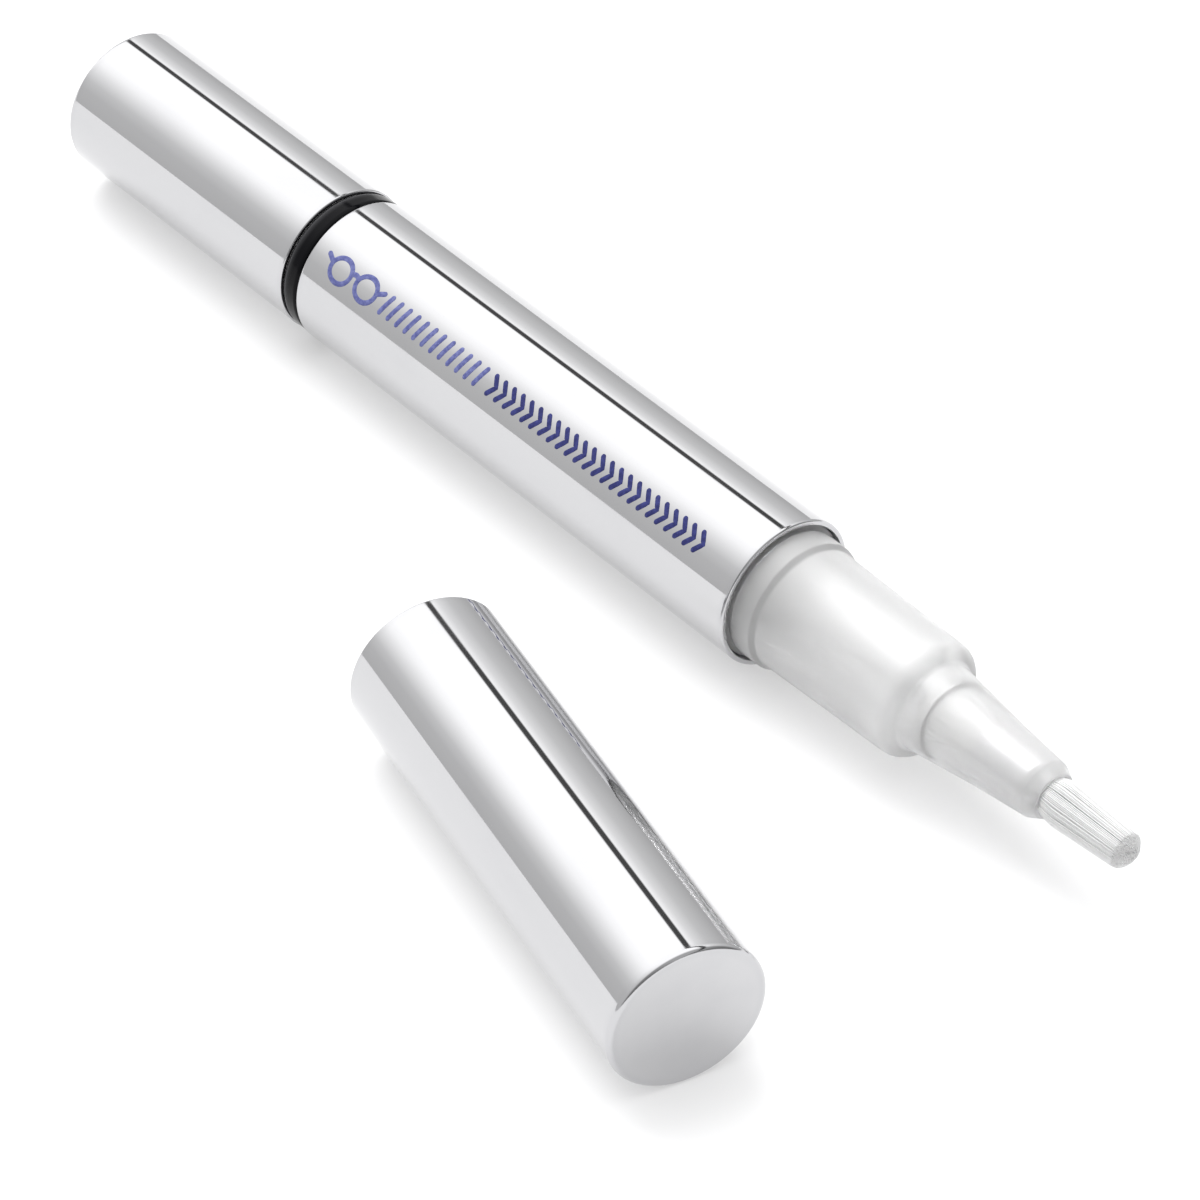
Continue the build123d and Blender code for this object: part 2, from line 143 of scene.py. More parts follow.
def rounded_outline(
    corners: Sequence[Triple],
    ends: Ends = Ends.LOOP,
    steps: int = 6,
    support: float = 0.5,
) -> Outline:
    """Joins corners by straight runs and rounds each corner.

    A corner at P, with unit directions a and b towards its neighbours that stand an angle w apart, becomes
    an arc of its own radius r, which leaves the first run r / tan(w / 2) before P. Along the arc the
    direction of travel turns evenly from -a to b, and the surface faces a quarter turn to the right of it.
    Each run gets a support point near both of its ends, so that what is painted on the edge attribute stays
    at the edges.

    Args:
        corners: station, radius and rounding of each corner, in order.
        ends: whether the outline closes on itself or runs from the axis to the axis.
        steps: stretches in each arc.
        support: the distance of a support point from its arc.

    Returns:
        The outline, with the material on the left of its direction of travel.
    """
    data = np.array(corners, float)
    if signed_area(data[:, :2]) < 0:
        data = data[::-1]
    spots = data[:, :2]
    if ends is Ends.LOOP:
        middle, radius = spots, data[:, 2]
        before, after = np.roll(spots, 1, 0), np.roll(spots, -1, 0)
    else:
        middle, radius = spots[1:-1], data[1:-1, 2]
        before, after = spots[:-2], spots[2:]
    back, ahead = unit(before - middle), unit(after - middle)
    opening = np.arccos(np.clip((back * ahead).sum(-1), -1, 1))
    turn = (math.pi - opening)[:, None, None]
    share = np.linspace(0, 1, steps + 1)[None, :, None]
    leaving = np.sin((1 - share) * turn) * -back[:, None]
    arriving = np.sin(share * turn) * ahead[:, None]
    travel = (leaving + arriving) / np.sin(turn)
    side = np.sign(-back[:, 0] * ahead[:, 1] + back[:, 1] * ahead[:, 0])[:, None]
    start = middle + back * (radius / np.tan(opening / 2))[:, None]
    centre = start + side * radius[:, None] * left_of(-back)
    arcs = centre[:, None] - (side * radius[:, None])[:, None] * left_of(travel)

    following = np.roll(arcs[:, 0], -1, 0)
    if ends is Ends.AXIS:
        following[-1] = spots[-1]
    run = following - arcs[:, -1]
    inset = np.minimum(support, np.linalg.norm(run, axis=-1) / 3)[:, None]
    supports = np.stack((arcs[:, -1] + unit(run) * inset, following - unit(run) * inset), 1)
    run_way = np.repeat(unit(run)[:, None], 2, 1)
    points = np.concatenate((arcs, supports), 1).reshape(-1, 2)
    ways = np.concatenate((travel, run_way), 1).reshape(-1, 2)
    mark = np.concatenate((np.ones(arcs.shape[:2]), np.zeros(supports.shape[:2])), 1).reshape(-1)
    if ends is Ends.AXIS:
        first = unit(arcs[0, 0] - spots[0])
        lead = arcs[0, 0] - first * min(support, np.linalg.norm(arcs[0, 0] - spots[0]) / 3)
        points = np.concatenate(([spots[0], lead], points, [spots[-1]]))
        ways = np.concatenate(([first, first], ways, [unit(run[-1])]))
        mark = np.concatenate(([0, 0], mark, [0]))
    return Outline(points, -left_of(ways), mark, ends)


def make_object(
    name: str,
    places: np.ndarray,
    faces: list[list[int]],
    normals: np.ndarray | None = None,
    edge: np.ndarray | None = None,
) -> bpy.types.Object:
    """Puts computed points and faces into a new object at the origin.

    Args:
        name: the piece's name.
        places: the points, in metres.
        faces: the corners of each face, counter-clockwise from outside.
        normals: the way each point faces, or None to let neighbouring faces decide.
        edge: a number on each point for the edge attribute.

    Returns:
        The object, linked into the scene.
    """
    mesh = bpy.data.meshes.new(name)
    mesh.from_pydata(places.reshape(-1, 3), [], faces)
    mesh.polygons.foreach_set("use_smooth", np.ones(len(mesh.polygons), bool))
    if edge is not None:
        layer = mesh.attributes.new("edge", "FLOAT", "POINT")
        layer.data.foreach_set("value", edge.astype(np.float32).reshape(-1))
    if normals is not None:
        mesh.normals_split_custom_set_from_vertices(normals.reshape(-1, 3))
    mesh.update()
    made = bpy.data.objects.new(name, mesh)
    bpy.context.scene.collection.objects.link(made)
    return made


def grid_faces(rows: int, columns: int, wrap_rows: bool, wrap_columns: bool) -> np.ndarray:
    """The four corners of every cell of a grid of points numbered row by row.

    Args:
        rows: rows of points.
        columns: points in each row.
        wrap_rows: whether the last row is joined to the first.
        wrap_columns: whether the last column is joined to the first.

    Returns:
        Four point numbers for each cell.
    """
    row = np.arange(rows if wrap_rows else rows - 1)[:, None]
    column = np.arange(columns if wrap_columns else columns - 1)[None, :]
    next_row, next_column = (row + 1) % rows, (column + 1) % columns
    corners = (
        row * columns + column,
        next_row * columns + column,
        next_row * columns + next_column,
        row * columns + next_column,
    )
    return np.stack(corners, -1).reshape(-1, 4)


def turned(name: str, outline: Outline, seat: Seat, segments: int = 384) -> bpy.types.Object:
    """Turns an outline once round its axis.

    Point (i, j) stands at origin + axis * station i + radius i * (side * cos t + up * sin t), where t is
    the share j / segments of a full turn. An outline that ends on the axis gets one point at each pole.

    Args:
        name: the piece's name.
        outline: the half section.
        seat: where its axis is.
        segments: points in each ring.

    Returns:
        The turned object.
    """
    turn = np.arange(segments) * 2 * math.pi / segments
    around = np.cos(turn)[:, None] * seat.side + np.sin(turn)[:, None] * seat.up
    off_axis = slice(None) if outline.ends is Ends.LOOP else slice(1, -1)
    rings, facing, mark = outline.points[off_axis], outline.normals[off_axis], outline.edge[off_axis]
    places = (rings[:, :1, None] * seat.axis + rings[:, 1:, None] * around).reshape(-1, 3)
    normals = (facing[:, :1, None] * seat.axis + facing[:, 1:, None] * around).reshape(-1, 3)
    edge = np.repeat(mark, segments)
    faces = grid_faces(len(rings), segments, outline.ends is Ends.LOOP, True).tolist()
    if outline.ends is Ends.AXIS:
        column = np.arange(segments)
        after = (column + 1) % segments
        last = (len(rings) - 1) * segments
        poles = outline.points[[0, -1], :1] * seat.axis
        places = np.concatenate((places, poles))
        normals = np.concatenate((normals, outline.normals[[0, -1], :1] * seat.axis))
        edge = np.concatenate((edge, [0, 0]))
        first_pole = np.full(segments, len(rings) * segments)
        faces += np.stack((first_pole, column, after), -1).tolist()
        faces += np.stack((last + column, first_pole + 1, last + after), -1).tolist()
    return make_object(name, seat.origin + places * MM, faces, unit(normals), edge)


# ---------- Shader maths ----------


class Value:
    """A number that changes over a surface. Its operators add Math nodes to the tree."""

    def __init__(self, net: "NodeNet", socket: bpy.types.NodeSocket) -> None:
        """Wraps an output socket of a tree."""
        self.net = net
        self.socket = socket

    def _math(self, operation: str, first: Any, second: Any = 0.0) -> "Value":
        """One Math node on two values or numbers."""
        node = self.net.node("ShaderNodeMath", {"operation": operation}, {0: first, 1: second})
        return Value(self.net, node.outputs[0])

    def __add__(self, other: Any) -> "Value":
        """self + other."""
        return self._math("ADD", self, other)

    def __radd__(self, other: Any) -> "Value":
        """other + self."""
        return self._math("ADD", other, self)

    def __sub__(self, other: Any) -> "Value":
        """self - other."""
        return self._math("SUBTRACT", self, other)

    def __rsub__(self, other: Any) -> "Value":
        """other - self."""
        return self._math("SUBTRACT", other, self)

    def __mul__(self, other: Any) -> "Value":
        """self * other."""
        return self._math("MULTIPLY", self, other)

    def __rmul__(self, other: Any) -> "Value":
        """other * self."""
        return self._math("MULTIPLY", other, self)

    def __abs__(self) -> "Value":
        """The size of self without its sign."""
        return self._math("ABSOLUTE", self)

    def between(self, limits: Pair) -> "Value":
        """The first limit where self is 0, and the second where it is 1."""
        return limits[0] + self * (limits[1] - limits[0])

    def over(self, low: float, high: float, start: float = 0.0, end: float = 1.0) -> "Value":
        """A smooth step from start at low to end at high."""
        settings = {"interpolation_type": "SMOOTHSTEP"}
        inputs = {"Value": self, "From Min": low, "From Max": high, "To Min": start, "To Max": end}
        return Value(self.net, self.net.node("ShaderNodeMapRange", settings, inputs).outputs[0])

    def angle_with(self, other: "Value") -> "Value":
        """The angle whose tangent is self over other, in radians."""
        return self._math("ARCTAN2", self, other)


class NodeNet:
    """A node tree that is filled by expressions."""

    def __init__(self, tree: bpy.types.NodeTree) -> None:
        """Takes a tree and empties it."""
        self.tree = tree
        tree.nodes.clear()

    def node(
        self, kind: str, settings: dict[str, Any] | None = None, inputs: dict[Any, Any] | None = None
    ) -> bpy.types.Node:
        """Adds one node.

        Args:
            kind: the node's type.
            settings: the node's own options, with a ramp's (place, brightness) stops under "stops".
            inputs: a value, a number or a colour for each input, by its name or index.

        Returns:
            The node.
        """
        made = self.tree.nodes.new(kind)
        for key, setting in (settings or {}).items():
            if key == "stops":
                self._set_stops(made.color_ramp, setting)
            else:
                setattr(made, key, setting)
        for key, given in (inputs or {}).items():
            if isinstance(given, Value):
                given = given.socket
            if isinstance(given, bpy.types.NodeSocket):
                self.tree.links.new(given, made.inputs[key])
            else:
                made.inputs[key].default_value = given
        return made

    def _set_stops(self, ramp: bpy.types.ColorRamp, stops: Sequence[Pair]) -> None:
        """Gives a ramp its stops."""
        while len(ramp.elements) < len(stops):
            ramp.elements.new(1.0)
        for element, (place, level) in zip(ramp.elements, stops):
            element.position = place
            element.color = (level, level, level, 1)

    def place(self, scale: Sequence[float], yaw: float = 0.0) -> bpy.types.NodeSocket:
        """The piece's own coordinates in millimetres, turned to its axis and stretched.

        Args:
            scale: how much finer the pattern is along the axis, across it and upwards.
            yaw: the turn of the piece's axis from +X.

        Returns:
            The vector's socket.
        """
        spot = self.node("ShaderNodeTexCoord").outputs["Object"]
        turn = {"Vector": spot, "Rotation": (0, 0, yaw)}
        along = self.node("ShaderNodeMapping", {"vector_type": "TEXTURE"}, turn).outputs[0]
        stretch = {"Vector": along, "Scale": [each / MM for each in scale]}
        return self.node("ShaderNodeMapping", {}, stretch).outputs[0]

    def station(self) -> Value:
        """The distance along the pen, in millimetres."""
        parts = self.node("ShaderNodeSeparateXYZ", {}, {0: self.place((1, 1, 1))})
        return Value(self, parts.outputs["X"])

    def noise(
        self, scale: Sequence[float], yaw: float = 0.0, detail: float = 3.0, rough: float = 0.5
    ) -> Value:
        """Soft noise with so many waves to the millimetre in each direction."""
        inputs = {"Vector": self.place(scale, yaw), "Scale": 1.0, "Detail": detail, "Roughness": rough}
        return Value(self, self.node("ShaderNodeTexNoise", {}, inputs).outputs[0])

    def edge(self) -> Value:
        """How near a point is to an edge of its piece, from 0 to 1."""
        return Value(self, self.node("ShaderNodeAttribute", {"attribute_name": "edge"}).outputs["Fac"])

    def blend(self, share: Value, low: Colour, high: Colour) -> bpy.types.NodeSocket:
        """A colour between two others."""
        inputs = {0: share, 6: (*low, 1), 7: (*high, 1)}
        return self.node("ShaderNodeMix", {"data_type": "RGBA"}, inputs).outputs[2]

    def bump(self, height: Value, depth: float) -> bpy.types.NodeSocket:
        """A normal from a height of 0 to 1 that stands for so many millimetres."""
        return self.node("ShaderNodeBump", {}, {"Height": height, "Distance": depth * MM}).outputs[0]


# ---------- Finishes ----------


def glow_inside(share: float, depth: float) -> dict[str, Any]:
    """The inputs that let this share of the light wander so many millimetres into a material."""
    return {
        "Subsurface Weight": share,
        "Subsurface Radius": (1.0, 1.0, 1.0),
        "Subsurface Scale": depth * MM,
    }


@dataclass(frozen=True)
class Finish:
    """One finish, which makes its own material."""

    name: str

    def material(self) -> bpy.types.Material:
        """Builds the material round one Principled shader."""
        made = bpy.data.materials.new(self.name)
        made.use_nodes = True
        net = NodeNet(made.node_tree)
        shader = net.node("ShaderNodeBsdfPrincipled", {}, self.inputs(net))
        net.node("ShaderNodeOutputMaterial", {}, {"Surface": shader.outputs[0]})
        return made

    def inputs(self, net: NodeNet) -> dict[str, Any]:
        """What goes into the shader."""
        raise NotImplementedError


@dataclass(frozen=True)
class MirrorAluminium(Finish):
    """Drawn aluminium tube, mirror polished and clear anodised.

    The polish leaves faint lines along the tube, handling leaves broad patches that are a little duller,
    and the turned rims are a touch rougher than the walls.
    """

    yaw: float = 0.0
    colour: Colour = (0.555, 0.555, 0.565)
    dull: Colour = (0.51, 0.51, 0.525)
    patch_dullness: float = 0.35
    rim_dullness: float = 0.4
    polish: float = 0.035
    line_roughness: float = 0.02
    patch_roughness: float = 0.03
    rim_roughness: float = 0.06
    line_relief: float = 0.04
    relief: float = 0.0012

    def inputs(self, net: NodeNet) -> dict[str, Any]:
        """Metal with polish lines, handling marks and turned rims."""
        lines = net.noise((0.05, 9.0, 9.0), self.yaw, detail=2.0)
        patches = net.noise((0.09, 0.22, 0.22), self.yaw, detail=4.0).over(0.45, 0.75)
        ripple = net.noise((0.06, 0.3, 0.3), self.yaw, detail=1.0)
        rim = net.edge()
        dullness = patches * self.patch_dullness + rim * self.rim_dullness
        wear = patches * self.patch_roughness + rim * self.rim_roughness
        return {
            "Base Color": net.blend(dullness, self.colour, self.dull),
            "Metallic": 1.0,
            "Roughness": self.polish + lines * self.line_roughness + wear,
            "Normal": net.bump(ripple + lines * self.line_relief, self.relief),
        }


@dataclass(frozen=True)
class GlossBlack(Finish):
    """Glossy black moulding with a faint flow grain and a painted grey highlight on the side towards the
    knob.
    """

    # The painted highlight: the station where it starts, how far it fades, its grey and how much the grain
    # varies it.
    highlight_end: float = 0.0
    highlight_width: float = 1.0
    colour: Colour = (0.002, 0.002, 0.003)
    painted_highlight: Colour = (0.060, 0.060, 0.064)
    highlight_grain: Pair = (0.6, 1.2)
    roughness: Pair = (0.10, 0.18)
    specular: float = 0.09
    relief: float = 0.004

    def inputs(self, net: NodeNet) -> dict[str, Any]:
        """Dark plastic under a gloss."""
        grain = net.noise((3.0, 0.8, 0.8))
        # Painted highlight: the base colour turns light grey over the knob end of the ring, flecked by the
        # grain.
        highlight_share = net.station().over(self.highlight_end, self.highlight_end + self.highlight_width, 1.0, 0.0)
        return {
            "Base Color": net.blend(highlight_share * grain.between(self.highlight_grain), self.colour, self.painted_highlight),
            "Roughness": grain.between(self.roughness),
            "Specular IOR Level": self.specular,
            "Normal": net.bump(grain, self.relief),
        }


@dataclass(frozen=True)
class MilkyPlastic(Finish):
    """Frosted, light-passing polypropylene.

    Light scatters inside it, so it has a soft glow with only a broad highlight, and its moulded skin is
    very finely grained. The cloudiness changes a little from place to place.
    """

    tint: Colour = (0.975, 0.975, 0.978)
    cloud: Colour = (0.998, 0.997, 0.998)
    passing: float = 0.72
    scatter: float = 0.46
    depth: float = 1.5
    frost: Pair = (0.30, 0.38)
    bending: float = 1.45
    relief: float = 0.004

    def inputs(self, net: NodeNet) -> dict[str, Any]:
        """Plastic that passes and scatters light."""
        cloud = net.noise((0.35, 0.35, 0.35), detail=4.0)
        grain = net.noise((14.0, 14.0, 14.0), detail=2.0)
        return {
            "Base Color": net.blend(cloud, self.tint, self.cloud),
            "Roughness": cloud.between(self.frost),
            "IOR": self.bending,
            "Transmission Weight": self.passing,
            "Normal": net.bump(grain, self.relief),
            **glow_inside(self.scatter, self.depth),
        }


@dataclass(frozen=True)
class MouldedWhite(Finish):
    """White acetal or similar, moulded, with faint flow streaks along the pen."""

    yaw: float = 0.0
    colour: Colour = (0.80, 0.80, 0.79)
    streak: Colour = (0.87, 0.87, 0.86)
    roughness: Pair = (0.34, 0.48)
    scatter: float = 0.15
    depth: float = 0.4
    relief: float = 0.006

    def inputs(self, net: NodeNet) -> dict[str, Any]:
        """Semi-matt white plastic."""
        streaks = net.noise((0.15, 1.2, 1.2), self.yaw, detail=4.0)
        grain = net.noise((8.0, 8.0, 8.0), self.yaw, detail=2.0)
        return {
            "Base Color": net.blend(streaks, self.colour, self.streak),
            "Roughness": grain.between(self.roughness),
            "Normal": net.bump(grain, self.relief),
            **glow_inside(self.scatter, self.depth),
        }


@dataclass(frozen=True)
class SoftSilicone(Finish):
    """Translucent silicone, matt and slightly dusty."""

    yaw: float = 0.0
    colour: Colour = (0.62, 0.62, 0.61)
    dust: Colour = (0.78, 0.78, 0.77)
    roughness: Pair = (0.55, 0.80)
    scatter: float = 0.4
    depth: float = 0.5
    relief: float = 0.02

    def inputs(self, net: NodeNet) -> dict[str, Any]:
        """Matt rubber."""
        dust = net.noise((1.6, 1.6, 1.6), self.yaw, detail=5.0, rough=0.65)
        return {
            "Base Color": net.blend(dust.over(0.4, 0.7), self.colour, self.dust),
            "Roughness": dust.between(self.roughness),
            "Normal": net.bump(dust, self.relief),
            **glow_inside(self.scatter, self.depth),
        }


@dataclass(frozen=True)
class SpringSteel(Finish):
    """Stainless strip with rolling lines."""

    colour: Colour = (0.62, 0.62, 0.63)
    bright: Colour = (0.74, 0.74, 0.75)
    roughness: Pair = (0.20, 0.38)
    relief: float = 0.004

    def inputs(self, net: NodeNet) -> dict[str, Any]:
        """Metal with fine lines."""
        lines = net.noise((12.0, 0.6, 0.6))
        return {
            "Base Color": net.blend(lines, self.colour, self.bright),
            "Metallic": 1.0,
            "Roughness": lines.between(self.roughness),
            "Normal": net.bump(lines, self.relief),
        }


@dataclass(frozen=True)
class WetFilament(Finish):
    """Clear white nylon filament, still damp from the pen's fluid."""

    colour: Colour = (0.995, 0.995, 0.995)
    band: Colour = (0.97, 0.97, 0.975)
    roughness: Pair = (0.22, 0.37)
    passing: float = 0.1
    scatter: float = 0.5
    depth: float = 0.5
    relief: float = 0.003

    def inputs(self, net: NodeNet) -> dict[str, Any]:
        """Smooth pale filament with small changes along it."""
        bands = net.noise((0.8, 3.0, 3.0))
        return {
            "Base Color": net.blend(bands, self.band, self.colour),
            "Roughness": bands.between(self.roughness),
            "Transmission Weight": self.passing,
            "Normal": net.bump(bands, self.relief),
            **glow_inside(self.scatter, self.depth),
        }


@dataclass(frozen=True)
class PrintInk(Finish):
    """Pad-printed ink, a little uneven in strength."""

    colour: Colour = (0.013, 0.016, 0.105)
    thin: Colour = (0.030, 0.036, 0.17)
    roughness: Pair = (0.36, 0.52)
    specular: float = 0.3
    relief: float = 0.003

    def inputs(self, net: NodeNet) -> dict[str, Any]:
        """Satin ink."""
        cover = net.noise((2.5, 2.5, 2.5))
        return {
            "Base Color": net.blend(cover.over(0.35, 0.7), self.colour, self.thin),
            "Roughness": cover.between(self.roughness),
            "Specular IOR Level": self.specular,
            "Normal": net.bump(cover, self.relief),
        }


@dataclass(frozen=True)
class PaleTable(Finish):
    """A smooth white light table, which glows softly from below."""

    colour: Colour = (0.56, 0.56, 0.56)
    shade: Colour = (0.54, 0.54, 0.545)
    roughness: Pair = (0.7, 0.8)
    specular: float = 0.2
    glow: float = 0.40

    def inputs(self, net: NodeNet) -> dict[str, Any]:
        """Matt white with hardly any variation."""
        cloud = net.noise((0.02, 0.02, 0.02), detail=2.0)
        return {
            "Base Color": net.blend(cloud, self.shade, self.colour),
            "Roughness": cloud.between(self.roughness),
            "Specular IOR Level": self.specular,
            "Emission Color": (1, 1, 1, 1),
            "Emission Strength": self.glow,
        }


def dress(piece: bpy.types.Object, material: bpy.types.Material) -> None:
    """Puts one material on a piece, in its own slots if it has any."""
    if piece.material_slots:
        for held in piece.material_slots:
            held.material = material
    else:
        piece.data.materials.append(material)


def settle(
    piece: bpy.types.Object, material: bpy.types.Material, body: str, slot: str | None, *nodes: str
) -> None:
    """Dresses a new piece, lets it ride on a body and hides the CAD nodes it stands for.

    Args:
        piece: the new piece.
        material: its finish.
        body: the body it rides on.
        slot: not used.
        nodes: the CAD nodes it replaces.
    """
    dress(piece, material)
    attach(piece, body)
    if nodes:
        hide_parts(*nodes)
    log.info("built %s: %d faces on %s", piece.name, len(piece.data.polygons), body)


def carry_over(finish: Finish, *nodes: str) -> None:
    """Gives CAD nodes whose shape is right their finish."""
    material = finish.material()
    for node in nodes:
        dress(frame["nodes"][node], material)
        log.info("dressed %s in %s", node, material.name)


def span(node: str) -> tuple[np.ndarray, np.ndarray]:
    """The lowest and highest corner of a CAD node, in millimetres."""
    low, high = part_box(node)
    return np.array(low) / MM, np.array(high) / MM


# ---------- The pen ----------

PEN_SEAT = Seat(np.zeros(3), np.array([1.0, 0.0, 0.0]))


@dataclass(frozen=True)
class ClosedTube:
    """An aluminium tube with a mouth and a flat end, as the knob and the cap have."""

    wall: float = 0.5
    end_wall: float = 0.6
    rim: float = 0.16
    inner_rim: float = 0.12
    end_edge: float = 0.5
    end_corner: float = 0.3

    def outline(self, mouth: float, end: float, radius: float) -> Outline:
        """The tube's half section, from the middle of its end round its mouth to the middle of its floor.

        Args:
            mouth: the station of its mouth.
            end: the station of its closed end.
            radius: its outer radius.

        Returns:
            The outline.
        """
        bore = radius - self.wall
        floor = end - math.copysign(self.end_wall, end - mouth)
        corners = [
            (end, 0, 0),
            (end, radius, self.end_edge),
            (mouth, radius, self.rim),
            (mouth, bore, self.inner_rim),
            (floor, bore, self.end_corner),
            (floor, 0, 0),
        ]
        return rounded_outline(corners, Ends.AXIS)


@dataclass
class Barrel:
    """The barrel tube, the black ring behind it and what is hidden inside them."""

    wall: float = 0.5
    rim: float = 0.26
    inner_rim: float = 0.12
    ring_crown: float = 0.55
    ring_edge: float = 0.12

    def sleeve(self, node: str, bore: float, rim: float, inner_rim: float) -> Outline:
        """The half section of a sleeve as long and wide as a CAD node, with rounded rims.

        Args:
            node: the CAD node.
            bore: the sleeve's inner radius.
            rim: the rounding of its outer rims.
            inner_rim: the rounding of its inner rims.

        Returns:
            The outline.
        """
        low, high = span(node)
        radius, rear, front = high[2], low[0], high[0]
        corners = [
            (front, radius, rim),
            (front, bore, inner_rim),
            (rear, bore, inner_rim),
            (rear, radius, rim),
        ]
        return rounded_outline(corners)

    def build(self) -> None:
        """Turns the tube and the ring and dresses everything that rides on the barrel behind the nozzle."""
        bore = span("barrel_shell")[1][2] - self.wall
        outline = self.sleeve("barrel_shell", bore, self.rim, self.inner_rim)
        tube = turned("barrel_tube", outline, PEN_SEAT)
        mirror = MirrorAluminium("mirror_barrel").material()
        settle(tube, mirror, "barrel", "polished_aluminium", "barrel_shell")

        outline = self.sleeve("spacer_ring", bore, self.ring_crown, self.ring_edge)
        ring = turned("black_ring", outline, PEN_SEAT)
        # The ring's painted highlight starts at its rear end, towards the knob.
        black = GlossBlack("gloss_black", highlight_end=span("spacer_ring")[0][0]).material()
        settle(ring, black, "barrel", "black_plastic", "spacer_ring")

        natural = MilkyPlastic("natural_polypropylene", passing=0.6, scatter=0.2, frost=(0.22, 0.30))
        carry_over(natural, "reservoir", "feed_tube")
        carry_over(MouldedWhite("white_acetal"), "thread_bush", "bearing_sleeve", "ratchet_ring")


@dataclass
class Nozzle:
    """The frosted nozzle with its collar, neck, shoulder and spout, and the parts inside it."""

    collar_radius: float = 6.1
    collar_start: float = 0.15
    collar_length: float = 2.3
    collar_round: float = 0.35
    groove_radius: float = 5.75
    groove_edge: float = 0.06
    neck_rear_radius: float = 5.75
    neck_front_radius: float = 5.45
    neck_hollow: float = 0.5
    shoulder_corner: float = 18.17
    shoulder_foot: Pair = (18.55, 4.12)
    shoulder_round: float = 1.4
    shoulder_hollow: float = 0.45
    spout_middle: Pair = (26.0, 3.2)
    spout_swell: float = 40.0
    spout_end: Pair = (31.6, 2.67)
    spout_round: float = 0.35
    spout_bore: float = 2.05
    lip_radius: float = 2.1
    lip_bore: float = 1.8
    lip_length: float = 1.4
    seat_radius: float = 2.6
    seat_length: float = 1.0
    seat_start: float = 19.2
    chamber_radius: float = 4.2
    chamber_end: float = 15.85
    flange_front: float = -0.6
    flange_rear: float = -5.0
    flange_radius: float = 6.45
    plug_radius: float = 5.45
    plug_wall: float = 1.5
    plug_lead: float = 0.4
    crisp: float = 0.08
    fine: float = 0.1
    soft: float = 0.12
    mild: float = 0.2
    wide: float = 1.0

    def outline(self) -> Outline:
        """The nozzle's half section, from the lip's bore back to the plug and forward along the outside."""
        low, high = span("nozzle")
        rear, front = low[0], high[0]
        seat_end = self.seat_start + self.seat_length
        plug_bore = self.plug_radius - self.plug_wall
        inside = [
            (front, self.lip_bore, self.fine),
            (front - self.lip_length, self.lip_bore, self.crisp),
            (front - self.lip_length, self.spout_bore, self.crisp),
            (seat_end, self.spout_bore, self.crisp),
            (seat_end, self.seat_radius, self.crisp),
            (self.seat_start, self.seat_radius, self.mild),
            (self.chamber_end, self.chamber_radius, self.wide),
            (self.flange_rear, self.chamber_radius, self.fine),
            (self.flange_rear, plug_bore, self.fine),
            (rear, plug_bore, self.soft),
        ]
        outside = [
            (rear, self.plug_radius, self.plug_lead),
            (self.flange_rear, self.plug_radius, self.crisp),
            (self.flange_rear, self.flange_radius, self.soft),
            (self.flange_front, self.flange_radius, self.soft),
            (self.flange_front, self.groove_radius, self.crisp),
            (self.collar_start, self.groove_radius, self.groove_edge),
            (self.collar_start, self.collar_radius, self.groove_edge),
            (self.collar_length, self.collar_radius, self.collar_round),
            (self.collar_length + self.neck_hollow, self.neck_rear_radius, self.neck_hollow),
            (self.shoulder_corner, self.neck_front_radius, self.shoulder_round),
            (*self.shoulder_foot, self.shoulder_hollow),
            (*self.spout_middle, self.spout_swell),
            (*self.spout_end, self.spout_round),
            (front, self.lip_radius, self.fine),
        ]
        return rounded_outline(inside + outside)

    def build(self) -> None:
        """Turns the nozzle and dresses the parts inside it."""
        nozzle = turned("nozzle_body", self.outline(), PEN_SEAT, segments=192)
        frosted = MilkyPlastic("frosted_nozzle").material()
        settle(nozzle, frosted, "barrel", "frosted_plastic", "nozzle")
        carry_over(MouldedWhite("white_holder"), "brush_holder")
        carry_over(SpringSteel("crimp_steel"), "brush_crimp")
        carry_over(SoftSilicone("nozzle_seal_silicone"), "nozzle_seal")


